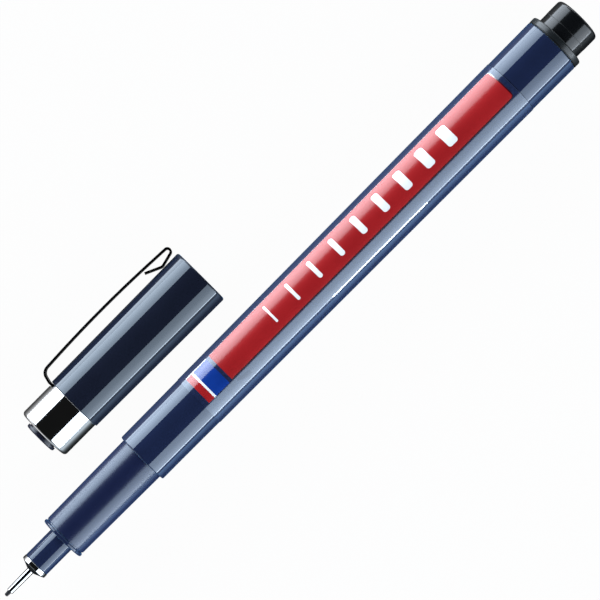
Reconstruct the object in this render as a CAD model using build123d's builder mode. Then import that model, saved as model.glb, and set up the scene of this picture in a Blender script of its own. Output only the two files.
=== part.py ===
from build123d import *
import math
import os

# A fineliner pen that lies along X with its nib towards -X, and its cap beside it on the +Y side.
# Lengths are millimetres, +Z is up, and the origin is the middle of the footprint on the table.

# Fits between pieces
press_fit = 0.02
wick_clearance = 0.04
reservoir_clearance = 0.2
cap_clearance = 0.08
inner_cap_clearance = 0.05
vent_clearance = 0.1
clip_slot_clearance = 0.16
clip_foot_clearance = 0.1

# Nib and its steel tube
nib_exposed = 0.92
nib_diameter = 0.74
nib_tip_diameter = 0.6
nib_tip_round = 0.17
nib_clearance = 0.02
tube_exposed = 4.86
tube_wall = 0.185
tube_swell = 0.075
tube_mouth_round = 0.15

# Metal collar on the nose
cone_length = 0.72
cone_front_wall = 0.1
ring_length = 0.73
ring_proud = 0.05
ring_round = 0.1
collar_spigot_length = 3.5
collar_spigot_wall = 0.55

# Front section: nose, lip and the core that plugs into the barrel
nose_length = 5.9
nose_diameter = 4.76
nose_front_round = 0.12
lip_length = 0.62
lip_proud = 0.115
lip_round = 0.26
groove_length = 0.19
groove_depth = 0.18
web_length = 2.5
core_wall = 0.9
core_depth = 9.0

# Grip sleeve between the lip and the barrel
grip_length = 17.92
grip_draft = 0.18
grip_end_round = 0.08
shoulder_step = 0.6

# Barrel
barrel_length = 96.3
barrel_front_diameter = 9.69
barrel_rear_diameter = 10.61
barrel_wall = 1.25
barrel_front_round = 0.22
barrel_rear_round = 0.16

# Label round the barrel: clear film with two printed areas let into it
film_thickness = 0.06
film_front_inset = 13.35
film_rear_inset = 9.75
film_seam_degrees = 6.0
film_seam_at_degrees = 270.0
print_from_degrees = 35.0
print_sweep_degrees = 72.0
block_front_inset = 1.0
block_length = 4.7
block_gap = 0.68
panel_rear_inset = 1.1
panel_corner_round = 0.75

# Ink store
wick_diameter = 1.6
wick_depth = 5.0
wrap_thickness = 0.12

# End plug with the post that the cap is pushed onto
plug_depth = 8.0
plug_wall = 1.0
plug_end_wall = 1.2
flange_length = 1.3
flange_front_round = 0.2
flange_rear_round = 0.26
post_neck_length = 1.85
post_length = 5.05
post_step = 1.015
post_bead = 0.03
post_bead_round = 0.02
post_end_round = 0.65

# Cap, measured from its closed end towards its mouth
cap_mouth_wall = 0.99
cap_end_wall = 0.775
cap_web = 0.75
cap_mouth_round = 0.38
cap_mouth_lead = 0.2
cap_shoulder_round = 0.1
cap_collar_length = 7.15
cap_collar_wall = 0.63
cap_collar_end_wall = 0.9
cap_collar_end_round = 0.6
cap_collar_rim_round = 0.08
cap_neck_wall = 1.2

# Dark plug in the cap's closed end
cap_plug_disc = 0.56
cap_plug_gap = 0.34
cap_plug_diameter = 5.9
cap_plug_round = 0.26
cap_plug_undercut = 0.3
cap_stem_diameter = 4.8
cap_stem_bore_length = 3.0
cap_stem_end_gap = 0.2

# Inner cap that closes round the nose
inner_cap_seat_step = 0.35
inner_cap_wall = 0.6
inner_cap_end_wall = 0.6
inner_cap_tip_room = 0.55
inner_cap_lip_room = 0.35
inner_cap_flange = 1.0
inner_cap_lead = 0.25

# Clip: one sprung strip with a T-shaped foot that is held under the collar
clip_thickness = 0.4
clip_width = 3.9
clip_end_width = 3.2
clip_ear = 0.4
clip_ear_height = 0.3
clip_pocket_floor = 0.3
clip_shoulder_gap = 0.15
clip_stand = 0.25
clip_lean = 0.52
clip_lean_radius = 1.0
clip_bend_radius = 1.4
clip_root_height = 2.17
clip_crown_height = 2.7475
clip_end_height = 1.93
clip_end_setback = 0.33
clip_loop_radius = 0.56
clip_loop_turn_degrees = 163.0
clip_foot_radius = 1.0
clip_foot_gap = 0.06
clip_foot_turn_degrees = 38.7
clip_tail_length = 2.78
clip_bow_share = 0.8

# Where the cap lies beside the pen
cap_gap = 3.59
cap_setback = 28.25

# Overrun for cuts
overrun = 1.0

# Stations along the pen, from the nib's tip
tube_at = nib_exposed
cone_at = tube_at + tube_exposed
ring_at = cone_at + cone_length
nose_at = ring_at + ring_length
lip_at = nose_at + nose_length
groove_at = lip_at + lip_length
grip_at = groove_at + groove_length
shoulder_at = grip_at + grip_length
flange_at = shoulder_at + barrel_length
post_at = flange_at + flange_length
pen_length = post_at + post_length
nib_rear_at = nose_at + collar_spigot_length
web_end_at = lip_at + web_length
core_end_at = shoulder_at + core_depth
reservoir_rear_at = flange_at - plug_depth

# Radii of the pen
nib_radius = nib_diameter / 2
tube_front_radius = nib_radius + nib_clearance + tube_wall
tube_radius = tube_front_radius + tube_swell
collar_spigot_radius = tube_radius + press_fit + collar_spigot_wall
nose_radius = nose_diameter / 2
ring_radius = nose_radius + ring_proud
barrel_front_radius = barrel_front_diameter / 2
barrel_rear_radius = barrel_rear_diameter / 2
grip_rear_radius = barrel_front_radius - shoulder_step
grip_front_radius = grip_rear_radius - grip_draft
lip_radius = grip_front_radius + lip_proud
core_radius = barrel_front_radius - barrel_wall - press_fit
wick_radius = wick_diameter / 2
wick_bore_radius = wick_radius + wick_clearance
wrap_radius = min(barrel_front_radius, barrel_rear_radius) - barrel_wall - reservoir_clearance
fibre_radius = wrap_radius - wrap_thickness
post_neck_radius = barrel_rear_radius - post_step
post_radius = post_neck_radius + post_bead

# Stations along the cap, from its closed end
cap_collar_at = cap_plug_disc + cap_plug_gap
cap_neck_at = cap_collar_at + cap_collar_end_wall
cap_seat_at = cap_neck_at + cap_stem_bore_length
cap_body_at = cap_collar_at + cap_collar_length
cap_tip_at = cap_seat_at + inner_cap_end_wall + inner_cap_tip_room
cap_mouth_at = cap_tip_at + shoulder_at
cap_bore_at = cap_body_at + cap_web
inner_cap_floor_at = cap_seat_at + inner_cap_end_wall
inner_cap_face_at = cap_tip_at + lip_at - inner_cap_lip_room

# Radii of the cap
cap_bore_radius = max(grip_rear_radius, lip_radius, post_radius) + cap_clearance
cap_mouth_radius = cap_bore_radius + cap_mouth_wall
cap_end_radius = cap_bore_radius + cap_end_wall
inner_cap_bore_radius = ring_radius + inner_cap_clearance
inner_cap_radius = inner_cap_bore_radius + inner_cap_wall
inner_cap_seat_radius = cap_bore_radius - inner_cap_seat_step
cap_neck_bore_radius = inner_cap_radius + press_fit
cap_neck_radius = cap_neck_bore_radius + cap_neck_wall
cap_collar_bore_radius = cap_neck_radius + press_fit
cap_collar_radius = cap_collar_bore_radius + cap_collar_wall
cap_stem_radius = cap_stem_diameter / 2
cap_plug_radius = cap_plug_diameter / 2

# Stations and heights of the clip
clip_notch = clip_thickness + 2 * clip_slot_clearance
clip_riser_at = cap_body_at - clip_notch / 2
clip_loop_at = cap_mouth_at - clip_end_setback - clip_thickness / 2 - clip_loop_radius
clip_crown_at = (clip_riser_at + clip_loop_at) / 2
clip_root_radius = cap_end_radius + clip_root_height
clip_crown_radius = (cap_end_radius + cap_mouth_radius) / 2 + clip_crown_height
clip_end_radius = cap_mouth_radius + clip_end_height
clip_pocket_radius = cap_neck_bore_radius + clip_pocket_floor
clip_toe_radius = clip_pocket_radius + clip_foot_clearance
clip_ear_radius = clip_toe_radius + clip_ear_height
clip_shoulder_radius = cap_collar_radius + clip_shoulder_gap
clip_head_width = 2 * math.sqrt((cap_neck_radius - clip_foot_clearance) ** 2 - clip_ear_radius**2)
clip_tang_width = clip_head_width - 2 * clip_ear


def barrel_radius(at):
    """Outside radius of the tapered barrel at a station along the pen."""
    run = (at - shoulder_at) / barrel_length
    return barrel_front_radius + run * (barrel_rear_radius - barrel_front_radius)


def bore_radius(at):
    """Radius of the barrel's tapered bore at a station along the pen."""
    return barrel_radius(at) - barrel_wall


# Place of both axes over the table
film_rear_at = flange_at - film_rear_inset
film_rear_radius = barrel_radius(film_rear_at) + film_thickness
axis_height = max(cap_mouth_radius, barrel_front_radius, barrel_rear_radius, film_rear_radius)
cap_spacing = barrel_rear_radius + cap_gap + cap_mouth_radius
clip_top = cap_spacing + clip_crown_radius + clip_thickness / 2
pen_y = -(clip_top - axis_height) / 2
pen_x = -pen_length / 2
cap_x = pen_x + shoulder_at + cap_setback - cap_mouth_at
pen_plane = Plane((pen_x, pen_y, axis_height))
cap_plane = Plane((cap_x, pen_y + cap_spacing, axis_height))
pen_axis = Axis(pen_plane.origin, pen_plane.x_dir)
cap_axis = Axis(cap_plane.origin, cap_plane.x_dir)


def turn(plane, axis, *corners, arc=360.0):
    """Revolve a closed outline whose corners are (station, radius, rounding)."""
    points = [(station, radius) for station, radius, _ in corners]
    roundings = [rounding for _, _, rounding in corners]
    with BuildSketch(plane) as outline:
        with BuildLine():
            FilletPolyline(points, radius=roundings, close=True)
        make_face()
    revolve(outline.sketch, axis=axis, revolution_arc=arc)


def film_outline(front, rear):
    """Corners of a stretch of film on the barrel between two stations."""
    return (
        (front, barrel_radius(front), 0),
        (rear, barrel_radius(rear), 0),
        (rear, barrel_radius(rear) + film_thickness, 0),
        (front, barrel_radius(front) + film_thickness, 0),
    )


# Fibre nib that runs through the steel tube to the wick
with BuildPart() as nib:
    turn(
        pen_plane,
        pen_axis,
        (0, 0, 0),
        (0, nib_tip_diameter / 2, nib_tip_round),
        (tube_at, nib_radius, 0),
        (nib_rear_at, nib_radius, 0),
        (nib_rear_at, 0, 0),
    )
nib.part.label = "nib"

# Steel tube round the nib
with BuildPart() as nib_tube:
    turn(
        pen_plane,
        pen_axis,
        (tube_at, nib_radius + nib_clearance, 0),
        (tube_at, tube_front_radius, tube_mouth_round),
        (cone_at, tube_radius, 0),
        (nib_rear_at, tube_radius, 0),
        (nib_rear_at, nib_radius + nib_clearance, 0),
    )
nib_tube.part.label = "nib_tube"

# Plated collar: steep cone, ring and the spigot that sits in the nose
with BuildPart() as nib_collar:
    turn(
        pen_plane,
        pen_axis,
        (cone_at, tube_radius + press_fit, 0),
        (cone_at, tube_radius + press_fit + cone_front_wall, 0),
        (ring_at, ring_radius, ring_round),
        (nose_at, ring_radius, ring_round),
        (nose_at, collar_spigot_radius, 0),
        (nib_rear_at, collar_spigot_radius, 0),
        (nib_rear_at, tube_radius + press_fit, 0),
    )
nib_collar.part.label = "nib_collar"

# Front section: glossy nose, lip, and the core that carries the grip and plugs into the barrel
with BuildPart() as front_section:
    turn(
        pen_plane,
        pen_axis,
        (nose_at, collar_spigot_radius + press_fit, 0),
        (nose_at, nose_radius, nose_front_round),
        (lip_at, nose_radius, 0),
        (lip_at, lip_radius, lip_round),
        (groove_at, lip_radius, lip_round),
        (groove_at, grip_front_radius - groove_depth, 0),
        (grip_at, grip_front_radius - groove_depth, 0),
        (grip_at, core_radius, 0),
        (core_end_at, core_radius, 0),
        (core_end_at, core_radius - core_wall, 0),
        (web_end_at, core_radius - core_wall, 0),
        (web_end_at, wick_bore_radius, 0),
        (nib_rear_at, wick_bore_radius, 0),
        (nib_rear_at, collar_spigot_radius + press_fit, 0),
    )
front_section.part.label = "front_section"

# Satin grip sleeve over the core
with BuildPart() as grip_sleeve:
    turn(
        pen_plane,
        pen_axis,
        (grip_at, core_radius + press_fit, 0),
        (grip_at, grip_front_radius, grip_end_round),
        (shoulder_at, grip_rear_radius, 0),
        (shoulder_at, core_radius + press_fit, 0),
    )
grip_sleeve.part.label = "grip_sleeve"

# Tapered barrel
with BuildPart() as barrel:
    turn(
        pen_plane,
        pen_axis,
        (shoulder_at, bore_radius(shoulder_at), 0),
        (shoulder_at, barrel_front_radius, barrel_front_round),
        (flange_at, barrel_rear_radius, barrel_rear_round),
        (flange_at, bore_radius(flange_at), 0),
    )
barrel.part.label = "barrel"

# Printed areas of the label: a short block at the nib end and a long panel behind it
film_at = shoulder_at + film_front_inset
block_at = film_at + block_front_inset
block_end_at = block_at + block_length
panel_at = block_end_at + block_gap
panel_end_at = film_rear_at - panel_rear_inset
print_plane = pen_plane.rotated((print_from_degrees, 0, 0))
seam_plane = pen_plane.rotated((film_seam_at_degrees + film_seam_degrees / 2, 0, 0))

with BuildPart() as label_block:
    turn(print_plane, pen_axis, *film_outline(block_at, block_end_at), arc=print_sweep_degrees)
label_block.part.label = "label_block"

with BuildPart() as label_panel:
    turn(print_plane, pen_axis, *film_outline(panel_at, panel_end_at), arc=print_sweep_degrees)
    corners = label_panel.edges().filter_by(GeomType.LINE).filter_by(Axis.X, reverse=True)
    fillet(corners.group_by(Axis.X)[-1], radius=panel_corner_round)
label_panel.part.label = "label_panel"

# Clear film wrapped round the barrel, with a narrow butt seam underneath
with BuildPart() as label_film:
    turn(seam_plane, pen_axis, *film_outline(film_at, film_rear_at), arc=360 - film_seam_degrees)
    add(label_block.part, mode=Mode.SUBTRACT)
    add(label_panel.part, mode=Mode.SUBTRACT)
label_film.part.label = "label_film"

# Wick from the back of the nib into the ink store
with BuildPart() as feed_wick:
    turn(
        pen_plane,
        pen_axis,
        (nib_rear_at, 0, 0),
        (nib_rear_at, wick_radius, 0),
        (core_end_at + wick_depth, wick_radius, 0),
        (core_end_at + wick_depth, 0, 0),
    )
feed_wick.part.label = "feed_wick"

# Fibre ink store, bored for the wick
with BuildPart() as ink_reservoir:
    turn(
        pen_plane,
        pen_axis,
        (core_end_at, wick_bore_radius, 0),
        (core_end_at, fibre_radius, 0),
        (reservoir_rear_at, fibre_radius, 0),
        (reservoir_rear_at, 0, 0),
        (core_end_at + wick_depth, 0, 0),
        (core_end_at + wick_depth, wick_bore_radius, 0),
    )
ink_reservoir.part.label = "ink_reservoir"

# Film wrap of the ink store
with BuildPart() as reservoir_wrap:
    turn(
        pen_plane,
        pen_axis,
        (core_end_at, fibre_radius, 0),
        (core_end_at, wrap_radius, 0),
        (reservoir_rear_at, wrap_radius, 0),
        (reservoir_rear_at, fibre_radius, 0),
    )
reservoir_wrap.part.label = "reservoir_wrap"

# End plug: spigot in the barrel, flange, and the post for the cap
plug_bore_radius = min(bore_radius(reservoir_rear_at), post_neck_radius) - plug_wall
post_bead_at = post_at + post_neck_length
with BuildPart() as end_plug:
    turn(
        pen_plane,
        pen_axis,
        (reservoir_rear_at, plug_bore_radius, 0),
        (reservoir_rear_at, bore_radius(reservoir_rear_at) - press_fit, 0),
        (flange_at, bore_radius(flange_at) - press_fit, 0),
        (flange_at, barrel_rear_radius, flange_front_round),
        (post_at, barrel_rear_radius, flange_rear_round),
        (post_at, post_neck_radius, 0),
        (post_bead_at, post_neck_radius, 0),
        (post_bead_at, post_radius, post_bead_round),
        (pen_length, post_radius, post_end_round),
        (pen_length, 0, 0),
        (pen_length - plug_end_wall, 0, 0),
        (pen_length - plug_end_wall, plug_bore_radius, 0),
    )
end_plug.part.label = "end_plug"

# Cap body: tapered shell with a neck that carries the collar
clip_pocket_width = clip_head_width + 2 * clip_foot_clearance
with BuildPart() as cap_body:
    turn(
        cap_plane,
        cap_axis,
        (cap_neck_at, cap_stem_radius + press_fit, 0),
        (cap_neck_at, cap_neck_radius, 0),
        (cap_body_at, cap_neck_radius, 0),
        (cap_body_at, cap_end_radius, cap_shoulder_round),
        (cap_mouth_at, cap_mouth_radius, cap_mouth_round),
        (cap_mouth_at, cap_bore_radius, cap_mouth_lead),
        (inner_cap_face_at, cap_bore_radius, 0),
        (inner_cap_face_at, inner_cap_seat_radius, 0),
        (cap_bore_at, inner_cap_seat_radius, 0),
        (cap_bore_at, cap_neck_bore_radius, 0),
        (cap_seat_at, cap_neck_bore_radius, 0),
        (cap_seat_at, cap_stem_radius + press_fit, 0),
    )
    with BuildSketch(cap_plane.offset(-clip_pocket_width / 2)):
        with Locations((clip_riser_at, clip_pocket_radius)):
            Rectangle(clip_notch, cap_neck_radius, align=(Align.CENTER, Align.MIN))
    extrude(amount=clip_pocket_width, mode=Mode.SUBTRACT)
cap_body.part.label = "cap_body"

# Plated collar over the neck, notched for the clip
clip_notch_width = clip_tang_width + 2 * clip_slot_clearance
with BuildPart() as cap_collar:
    turn(
        cap_plane,
        cap_axis,
        (cap_collar_at, cap_stem_radius + vent_clearance, 0),
        (cap_collar_at, cap_collar_radius, cap_collar_end_round),
        (cap_body_at, cap_collar_radius, cap_collar_rim_round),
        (cap_body_at, cap_collar_bore_radius, 0),
        (cap_neck_at, cap_collar_bore_radius, 0),
        (cap_neck_at, cap_stem_radius + vent_clearance, 0),
    )
    with BuildSketch(cap_plane.offset(-clip_notch_width / 2)):
        with Locations((cap_body_at - clip_notch, 0)):
            Rectangle(clip_notch + overrun, cap_collar_radius + overrun, align=(Align.MIN, Align.MIN))
    extrude(amount=clip_notch_width, mode=Mode.SUBTRACT)
cap_collar.part.label = "cap_collar"

# Dark plug in the closed end, whose stem pins the collar to the neck
with BuildPart() as cap_end_plug:
    turn(
        cap_plane,
        cap_axis,
        (0, 0, 0),
        (0, cap_plug_radius, cap_plug_round),
        (cap_plug_disc, cap_plug_radius, 0),
        (cap_plug_disc, cap_plug_radius - cap_plug_undercut, 0),
        (cap_collar_at, cap_plug_radius - cap_plug_undercut, 0),
        (cap_collar_at, cap_stem_radius, 0),
        (cap_seat_at - cap_stem_end_gap, cap_stem_radius, 0),
        (cap_seat_at - cap_stem_end_gap, 0, 0),
    )
cap_end_plug.part.label = "cap_end_plug"

# Inner cap: a cup that closes round the nose and keeps the nib moist
with BuildPart() as inner_cap:
    turn(
        cap_plane,
        cap_axis,
        (cap_seat_at, 0, 0),
        (cap_seat_at, inner_cap_radius, 0),
        (inner_cap_face_at - inner_cap_flange, inner_cap_radius, 0),
        (inner_cap_face_at - inner_cap_flange, inner_cap_seat_radius - press_fit, 0),
        (inner_cap_face_at, inner_cap_seat_radius - press_fit, 0),
        (inner_cap_face_at, inner_cap_bore_radius, inner_cap_lead),
        (inner_cap_floor_at, inner_cap_bore_radius, 0),
        (inner_cap_floor_at, 0, 0),
    )
inner_cap.part.label = "inner_cap"

# Clip: the strip's centre line runs out of the collar, bends along the cap and loops back to it
root = Vector(clip_riser_at + clip_lean, clip_root_radius)
crown = Vector(clip_crown_at, clip_crown_radius)
arm_end = Vector(clip_loop_at, clip_end_radius)
bow_turn = (crown - root).get_angle(arm_end - crown)
bow_run = min((crown - root).length, (arm_end - crown).length)
bow_radius = clip_bow_share * bow_run / math.tan(math.radians(bow_turn / 2))
foot_height = cap_mouth_radius + clip_foot_gap + clip_thickness / 2

with BuildPart() as clip:
    with BuildLine(cap_plane) as clip_line:
        arm = FilletPolyline(
            (clip_riser_at, clip_shoulder_radius),
            (clip_riser_at, clip_shoulder_radius + clip_stand),
            (root.X, root.Y),
            (crown.X, crown.Y),
            (arm_end.X, arm_end.Y),
            radius=[clip_lean_radius, clip_bend_radius, bow_radius],
        )
        loop = JernArc(arm @ 1, arm % 1, clip_loop_radius, -clip_loop_turn_degrees)
        fall = Vector(-1, 0, 0).get_angle(loop % 1)
        foot_drop = clip_foot_radius * (1 - math.cos(math.radians(fall)))
        loop_height = cap_plane.to_local_coords(loop @ 1).Y
        back_length = (loop_height - foot_height - foot_drop) / math.sin(math.radians(fall))
        back = Line(loop @ 1, loop @ 1 + (loop % 1) * back_length)
        foot = JernArc(back @ 1, back % 1, clip_foot_radius, -clip_foot_turn_degrees)
        tail = Line(foot @ 1, foot @ 1 + (foot % 1) * clip_tail_length)
    with BuildSketch(Plane(arm @ 0, x_dir=(1, 0, 0), z_dir=arm % 0)):
        Rectangle(clip_thickness, clip_width)
    sweep()
    taper_plane = Plane(cap_plane.origin, x_dir=cap_plane.x_dir, z_dir=cap_plane.y_dir)
    with BuildSketch(taper_plane):
        with BuildLine():
            Polyline(
                (clip_riser_at - clip_thickness, -clip_width / 2),
                (cap_body_at, -clip_width / 2),
                (cap_mouth_at, -clip_end_width / 2),
                (cap_mouth_at, clip_end_width / 2),
                (cap_body_at, clip_width / 2),
                (clip_riser_at - clip_thickness, clip_width / 2),
                close=True,
            )
        make_face()
    extrude(amount=clip_crown_radius + clip_thickness, mode=Mode.INTERSECT)
    with BuildSketch(cap_plane.offset(-clip_tang_width / 2)):
        with Locations((clip_riser_at, clip_toe_radius)):
            Rectangle(clip_thickness, clip_shoulder_radius - clip_toe_radius, align=(Align.CENTER, Align.MIN))
    extrude(amount=clip_tang_width)
    with BuildSketch(cap_plane.offset(-clip_head_width / 2)):
        with Locations((clip_riser_at, clip_toe_radius)):
            Rectangle(clip_thickness, clip_ear_height, align=(Align.CENTER, Align.MIN))
    extrude(amount=clip_head_width)
clip.part.label = "clip"

os.makedirs("parts", exist_ok=True)
for piece in (
    nib,
    nib_tube,
    nib_collar,
    front_section,
    grip_sleeve,
    barrel,
    label_block,
    label_panel,
    label_film,
    feed_wick,
    ink_reservoir,
    reservoir_wrap,
    end_plug,
    cap_body,
    cap_collar,
    cap_end_plug,
    inner_cap,
    clip,
):
    export_step(piece.part, f"parts/{piece.part.label}.step")
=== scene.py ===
import math

import bmesh
import bpy
from bpy.props import FloatProperty, FloatVectorProperty, IntProperty, PointerProperty
from mathutils import Matrix, Vector


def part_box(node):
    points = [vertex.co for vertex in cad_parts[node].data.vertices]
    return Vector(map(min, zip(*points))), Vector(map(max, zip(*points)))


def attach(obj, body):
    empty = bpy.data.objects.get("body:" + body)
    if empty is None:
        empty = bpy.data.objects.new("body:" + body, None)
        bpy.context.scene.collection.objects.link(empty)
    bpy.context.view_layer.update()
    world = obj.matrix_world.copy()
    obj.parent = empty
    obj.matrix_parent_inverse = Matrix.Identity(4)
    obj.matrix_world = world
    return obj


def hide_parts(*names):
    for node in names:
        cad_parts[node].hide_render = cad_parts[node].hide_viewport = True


bl_info = {
    "name": "Fineliner Pen",
    "version": (1, 0, 0),
    "blender": (4, 5, 0),
    "location": "View3D > Sidebar > Fineliner",
    "description": "Finishes for a fineliner pen with its cap off, its printed label, its clip and a studio",
    "category": "Object",
}

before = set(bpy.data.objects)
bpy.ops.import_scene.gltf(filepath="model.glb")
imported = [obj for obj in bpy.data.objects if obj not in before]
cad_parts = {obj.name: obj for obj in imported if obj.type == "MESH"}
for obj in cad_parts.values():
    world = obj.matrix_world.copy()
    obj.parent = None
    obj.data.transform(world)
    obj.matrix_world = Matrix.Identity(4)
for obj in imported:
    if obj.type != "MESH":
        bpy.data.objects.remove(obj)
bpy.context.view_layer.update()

# Units, in metres
MM = 0.001
UM = 0.000001

# Tints of gloss, edges and finishes, and of painted shade and painted highlight lines at joints and edges,
# scene-linear
WHITE = (1.0, 1.0, 1.0)
BLUE_GLOSS = (0.82, 0.92, 1.0)
WARM_GLOSS = (1.0, 0.93, 0.89)
BLUE_EDGE = (0.12, 0.5, 1.0)
JOINT_SHADE_TINT = (0.001, 0.001, 0.002)
STEP_SHADE_TINT = (0.001, 0.001, 0.001)
FLANGE_TINT = (0.013, 0.016, 0.017)
CONE_TINT = (0.03, 0.03, 0.032)
EDGE_SHADE_TINT = (0.008, 0.008, 0.009)
FILM_HIGHLIGHT_TINT = (0.03, 0.04, 0.075)
FILM_END_SHADE_TINT = (0.002, 0.003, 0.006)
# Painted reflection: a bluer floor on the near side, only as the pieces mirror it
NEAR_FLOOR_TINT = (0.8, 0.92, 1.0)

# Scales of the noise patterns, per metre
SKIN_GRAIN = 5200.0
HANDLED_PATCHES = 170.0
HANDLED_STREAKS = 2600.0
PLASTIC_CLOUDS = 90.0
TURNING_LINES = 9000.0
RUB_MARKS = 700.0
METAL_CLOUDS = 260.0
FIBRE_STRANDS = 14000.0
INK_SOAK = 900.0
FILM_SPECKLE = 3800.0
RED_CLOUDS = 120.0
BLUE_CLOUDS = 260.0
FLOOR_GRAIN = 400.0

# Softness of printed edges, and where the painted highlight line and the painted shade line at the film's rear end
# start and stop before it
PRINT_EDGE = 0.03 * MM
STROKE_EDGE = 0.04 * MM
STROKE_CORNER = 0.5 * MM
ZONE_EDGE = 0.02 * MM
FILM_EDGE = (0.16 * MM, 0.1 * MM)
FILM_END = (0.08 * MM, 0.05 * MM)

# Roughness of the film, the painted shade lines at the joints and the light along the plastic's edge
FILM_ROUGHNESS = 0.1
JOINT_SHADE_ROUGHNESS = 0.6
EDGE_ROUGHNESS = 0.3

# Places of factor, first and second colour on a Mix node, where socket names repeat, and of its result
MIX_INPUTS = (0, 6, 7)
MIX_RESULT = 2

# Steps of the strip's bends and rounded edges
BEND_STEP = math.radians(6)
BEND_STEPS = 4
SHARP_BEND = math.radians(20)
SOFT_STEPS = 24
EDGE_SEGMENTS = 3
CREASE = math.radians(40)
MERGE_DISTANCE = 1e-7

# Edges of the softboxes, across and up, in metres
FAR_TOP_ACROSS = 0.74
FAR_BOTTOM = (0.85, 0.0)
NEAR_TOP = (-0.549, 0.70)
NEAR_BOTTOM = (-0.80, 0.05)
RIM_BOTTOM = (-0.81, 0.0)

# Lamps that lie on the floor: height, far edge of the low one, and the middle and length of each along the pen
LYING_HEIGHT = 0.0005
LOW_END = 0.5
LOW_PLACE = (0.22, 0.56)
EDGE_PLACE = (0.0, 0.17)
EDGE_FADE = 8.0
FACED_HEIGHT = 0.03
TAIL_RANGE = (-0.05, 0.16)

# Floor: size, and lengths over which it turns white far off, from near to far side, and away from a piece, past the
# painted contact shade that pieces mirror
FLOOR_RADIUS = 6.0
FLOOR_SEGMENTS = 96
FAR_OFF = (0.12, 0.9)
FAR_SIDE = (-0.003, 0.0005)
FAR_CLOSE = (0.005, 0.029)
NEAR_CLOSE = (0.0075, 0.031)
NEAR_CONTACT = 0.5

# Studio: heights between which the walls end, how far to the side they dim, and the light from overhead
WALL_TOP = (0.25, 0.55)
WALL_SIDE = (0.4, 0.8)
OVERHEAD = 0.008
SENSOR_WIDTH = 36.0


def node_span(node):
    """Front end, rear end, radius and axis of a turned node, from its box in the frame."""
    low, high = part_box(node)
    axis = Vector((0.0, (low.y + high.y) / 2, (low.z + high.z) / 2))
    return low.x, high.x, (high.z - low.z) / 2, axis


def axes_at(place, *axes):
    """Matrix that turns X, Y and Z to three directions and moves the origin to a place."""
    return Matrix.Translation(place) @ Matrix(axes).transposed().to_4x4()


def length(name, description, millimetres):
    """A length that the user can change, given in millimetres and held in metres."""
    return FloatProperty(
        name=name, description=description, default=millimetres * MM, unit="LENGTH", subtype="DISTANCE", precision=5
    )


def angle(name, description, degrees):
    """An angle that the user can change, given in degrees."""
    return FloatProperty(name=name, description=description, default=math.radians(degrees), subtype="ANGLE")


def number(name, description, default):
    """A plain number that the user can change."""
    return FloatProperty(name=name, description=description, default=default)


def colour(name, description, red, green, blue):
    """A scene-linear colour that the user can change."""
    return FloatVectorProperty(
        name=name, description=description, default=(red, green, blue, 1.0), size=4, min=0.0, max=1.0, subtype="COLOR"
    )


class FinelinerColours(bpy.types.PropertyGroup):
    """Colours of the pen's finishes"""

    barrel: colour("Barrel", "Glossy dark blue of the barrel and the nose", 0.0108, 0.0165, 0.0465)
    grip: colour("Grip", "Satin dark blue of the grip sleeve", 0.0095, 0.0135, 0.045)
    cap: colour("Cap", "Nearly black blue of the cap", 0.0101, 0.0126, 0.0247)
    plug: colour("End Plug", "Black of the end plug", 0.0042, 0.0046, 0.0052)
    cap_plug: colour("Cap Plug", "Blue-black of the disc on the cap's closed end", 0.009, 0.0105, 0.024)
    film: colour("Film", "Dark blue as it shows through the label film", 0.0102, 0.0148, 0.041)
    red: colour("Label Red", "Red of the printed panel", 0.33, 0.0125, 0.0145)
    blue: colour("Label Blue", "Blue of the printed block", 0.006, 0.036, 0.24)
    white: colour("Label White", "White of the lines and strokes", 0.82, 0.82, 0.82)
    plating: colour("Plating", "Bright plating of the collars and the clip", 0.78, 0.79, 0.81)
    steel: colour("Steel", "Steel of the nib's tube", 0.29, 0.292, 0.295)
    nib: colour("Nib", "Ink-soaked fibre of the nib", 0.008, 0.0085, 0.01)
    inner: colour("Inner Cap", "Natural plastic inside the cap", 0.62, 0.62, 0.59)
    ink: colour("Ink Store", "Fibre soaked with ink", 0.012, 0.018, 0.09)
    wrap: colour("Store Wrap", "Milky film round the ink store", 0.62, 0.64, 0.66)


class FinelinerLabel(bpy.types.PropertyGroup):
    """Layout of the printed label"""

    # The border's white line is kept along the top edges as a painted highlight, and the shadow line is painted
    # shadow
    border: length("Border", "Width of the white line along the panel's edge", 0.2)
    shade: length("Shadow Line", "Width of the dark line along the panel's lower edge", 0.2)
    corner: length("Corner", "Rounding of the panel's rear corners", 0.75)
    strokes: IntProperty(name="Strokes", description="Number of strokes on the panel", default=9, min=1, max=16)
    strokes_front: length("Strokes Start", "First stroke, from the nib's tip", 63.6)
    strokes_rear: length("Strokes End", "Last stroke, from the nib's tip", 104.8)
    stroke_fine: length("Finest Stroke", "Width of the finest stroke", 0.4)
    stroke_bold: length("Boldest Stroke", "Width of the boldest stroke", 2.0)
    stroke_height: length("Stroke Height", "Height of the strokes round the barrel", 4.0)
    stroke_turn: angle("Stroke Place", "Middle of the strokes, turned from the top of the barrel", -21.5)
    line_front: length("Line Start", "Front end of the thin line on the film", 72.8)
    line_rear: length("Line End", "Rear end of the thin line on the film", 94.9)
    line_width: length("Line Width", "Width of the thin line on the film", 0.34)
    line_turn: angle("Line Place", "Place of the thin line, turned from the top of the barrel", 45.0)
    block_red: length("Red Band", "Length of the red band at the front of the block", 1.25)
    block_white: length("White Band", "Length of the white band behind it", 0.4)


class FinelinerSeams(bpy.types.PropertyGroup):
    """Zones where two pieces meet"""

    cone: length("Cone", "Where the cone on the nose meets its ring, from the nib's tip", 6.42)
    flange: length("Flange", "Length of the end plug's flange", 1.3)
    bead: length("Bead", "Place of the step on the rear post, from the nib's tip", 131.31)
    # Painted shade: the joint's dark line stands in for the shade in the gap between two pieces
    joint: length("Joint", "Width of the dark line where two pieces meet", 0.2)


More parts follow.
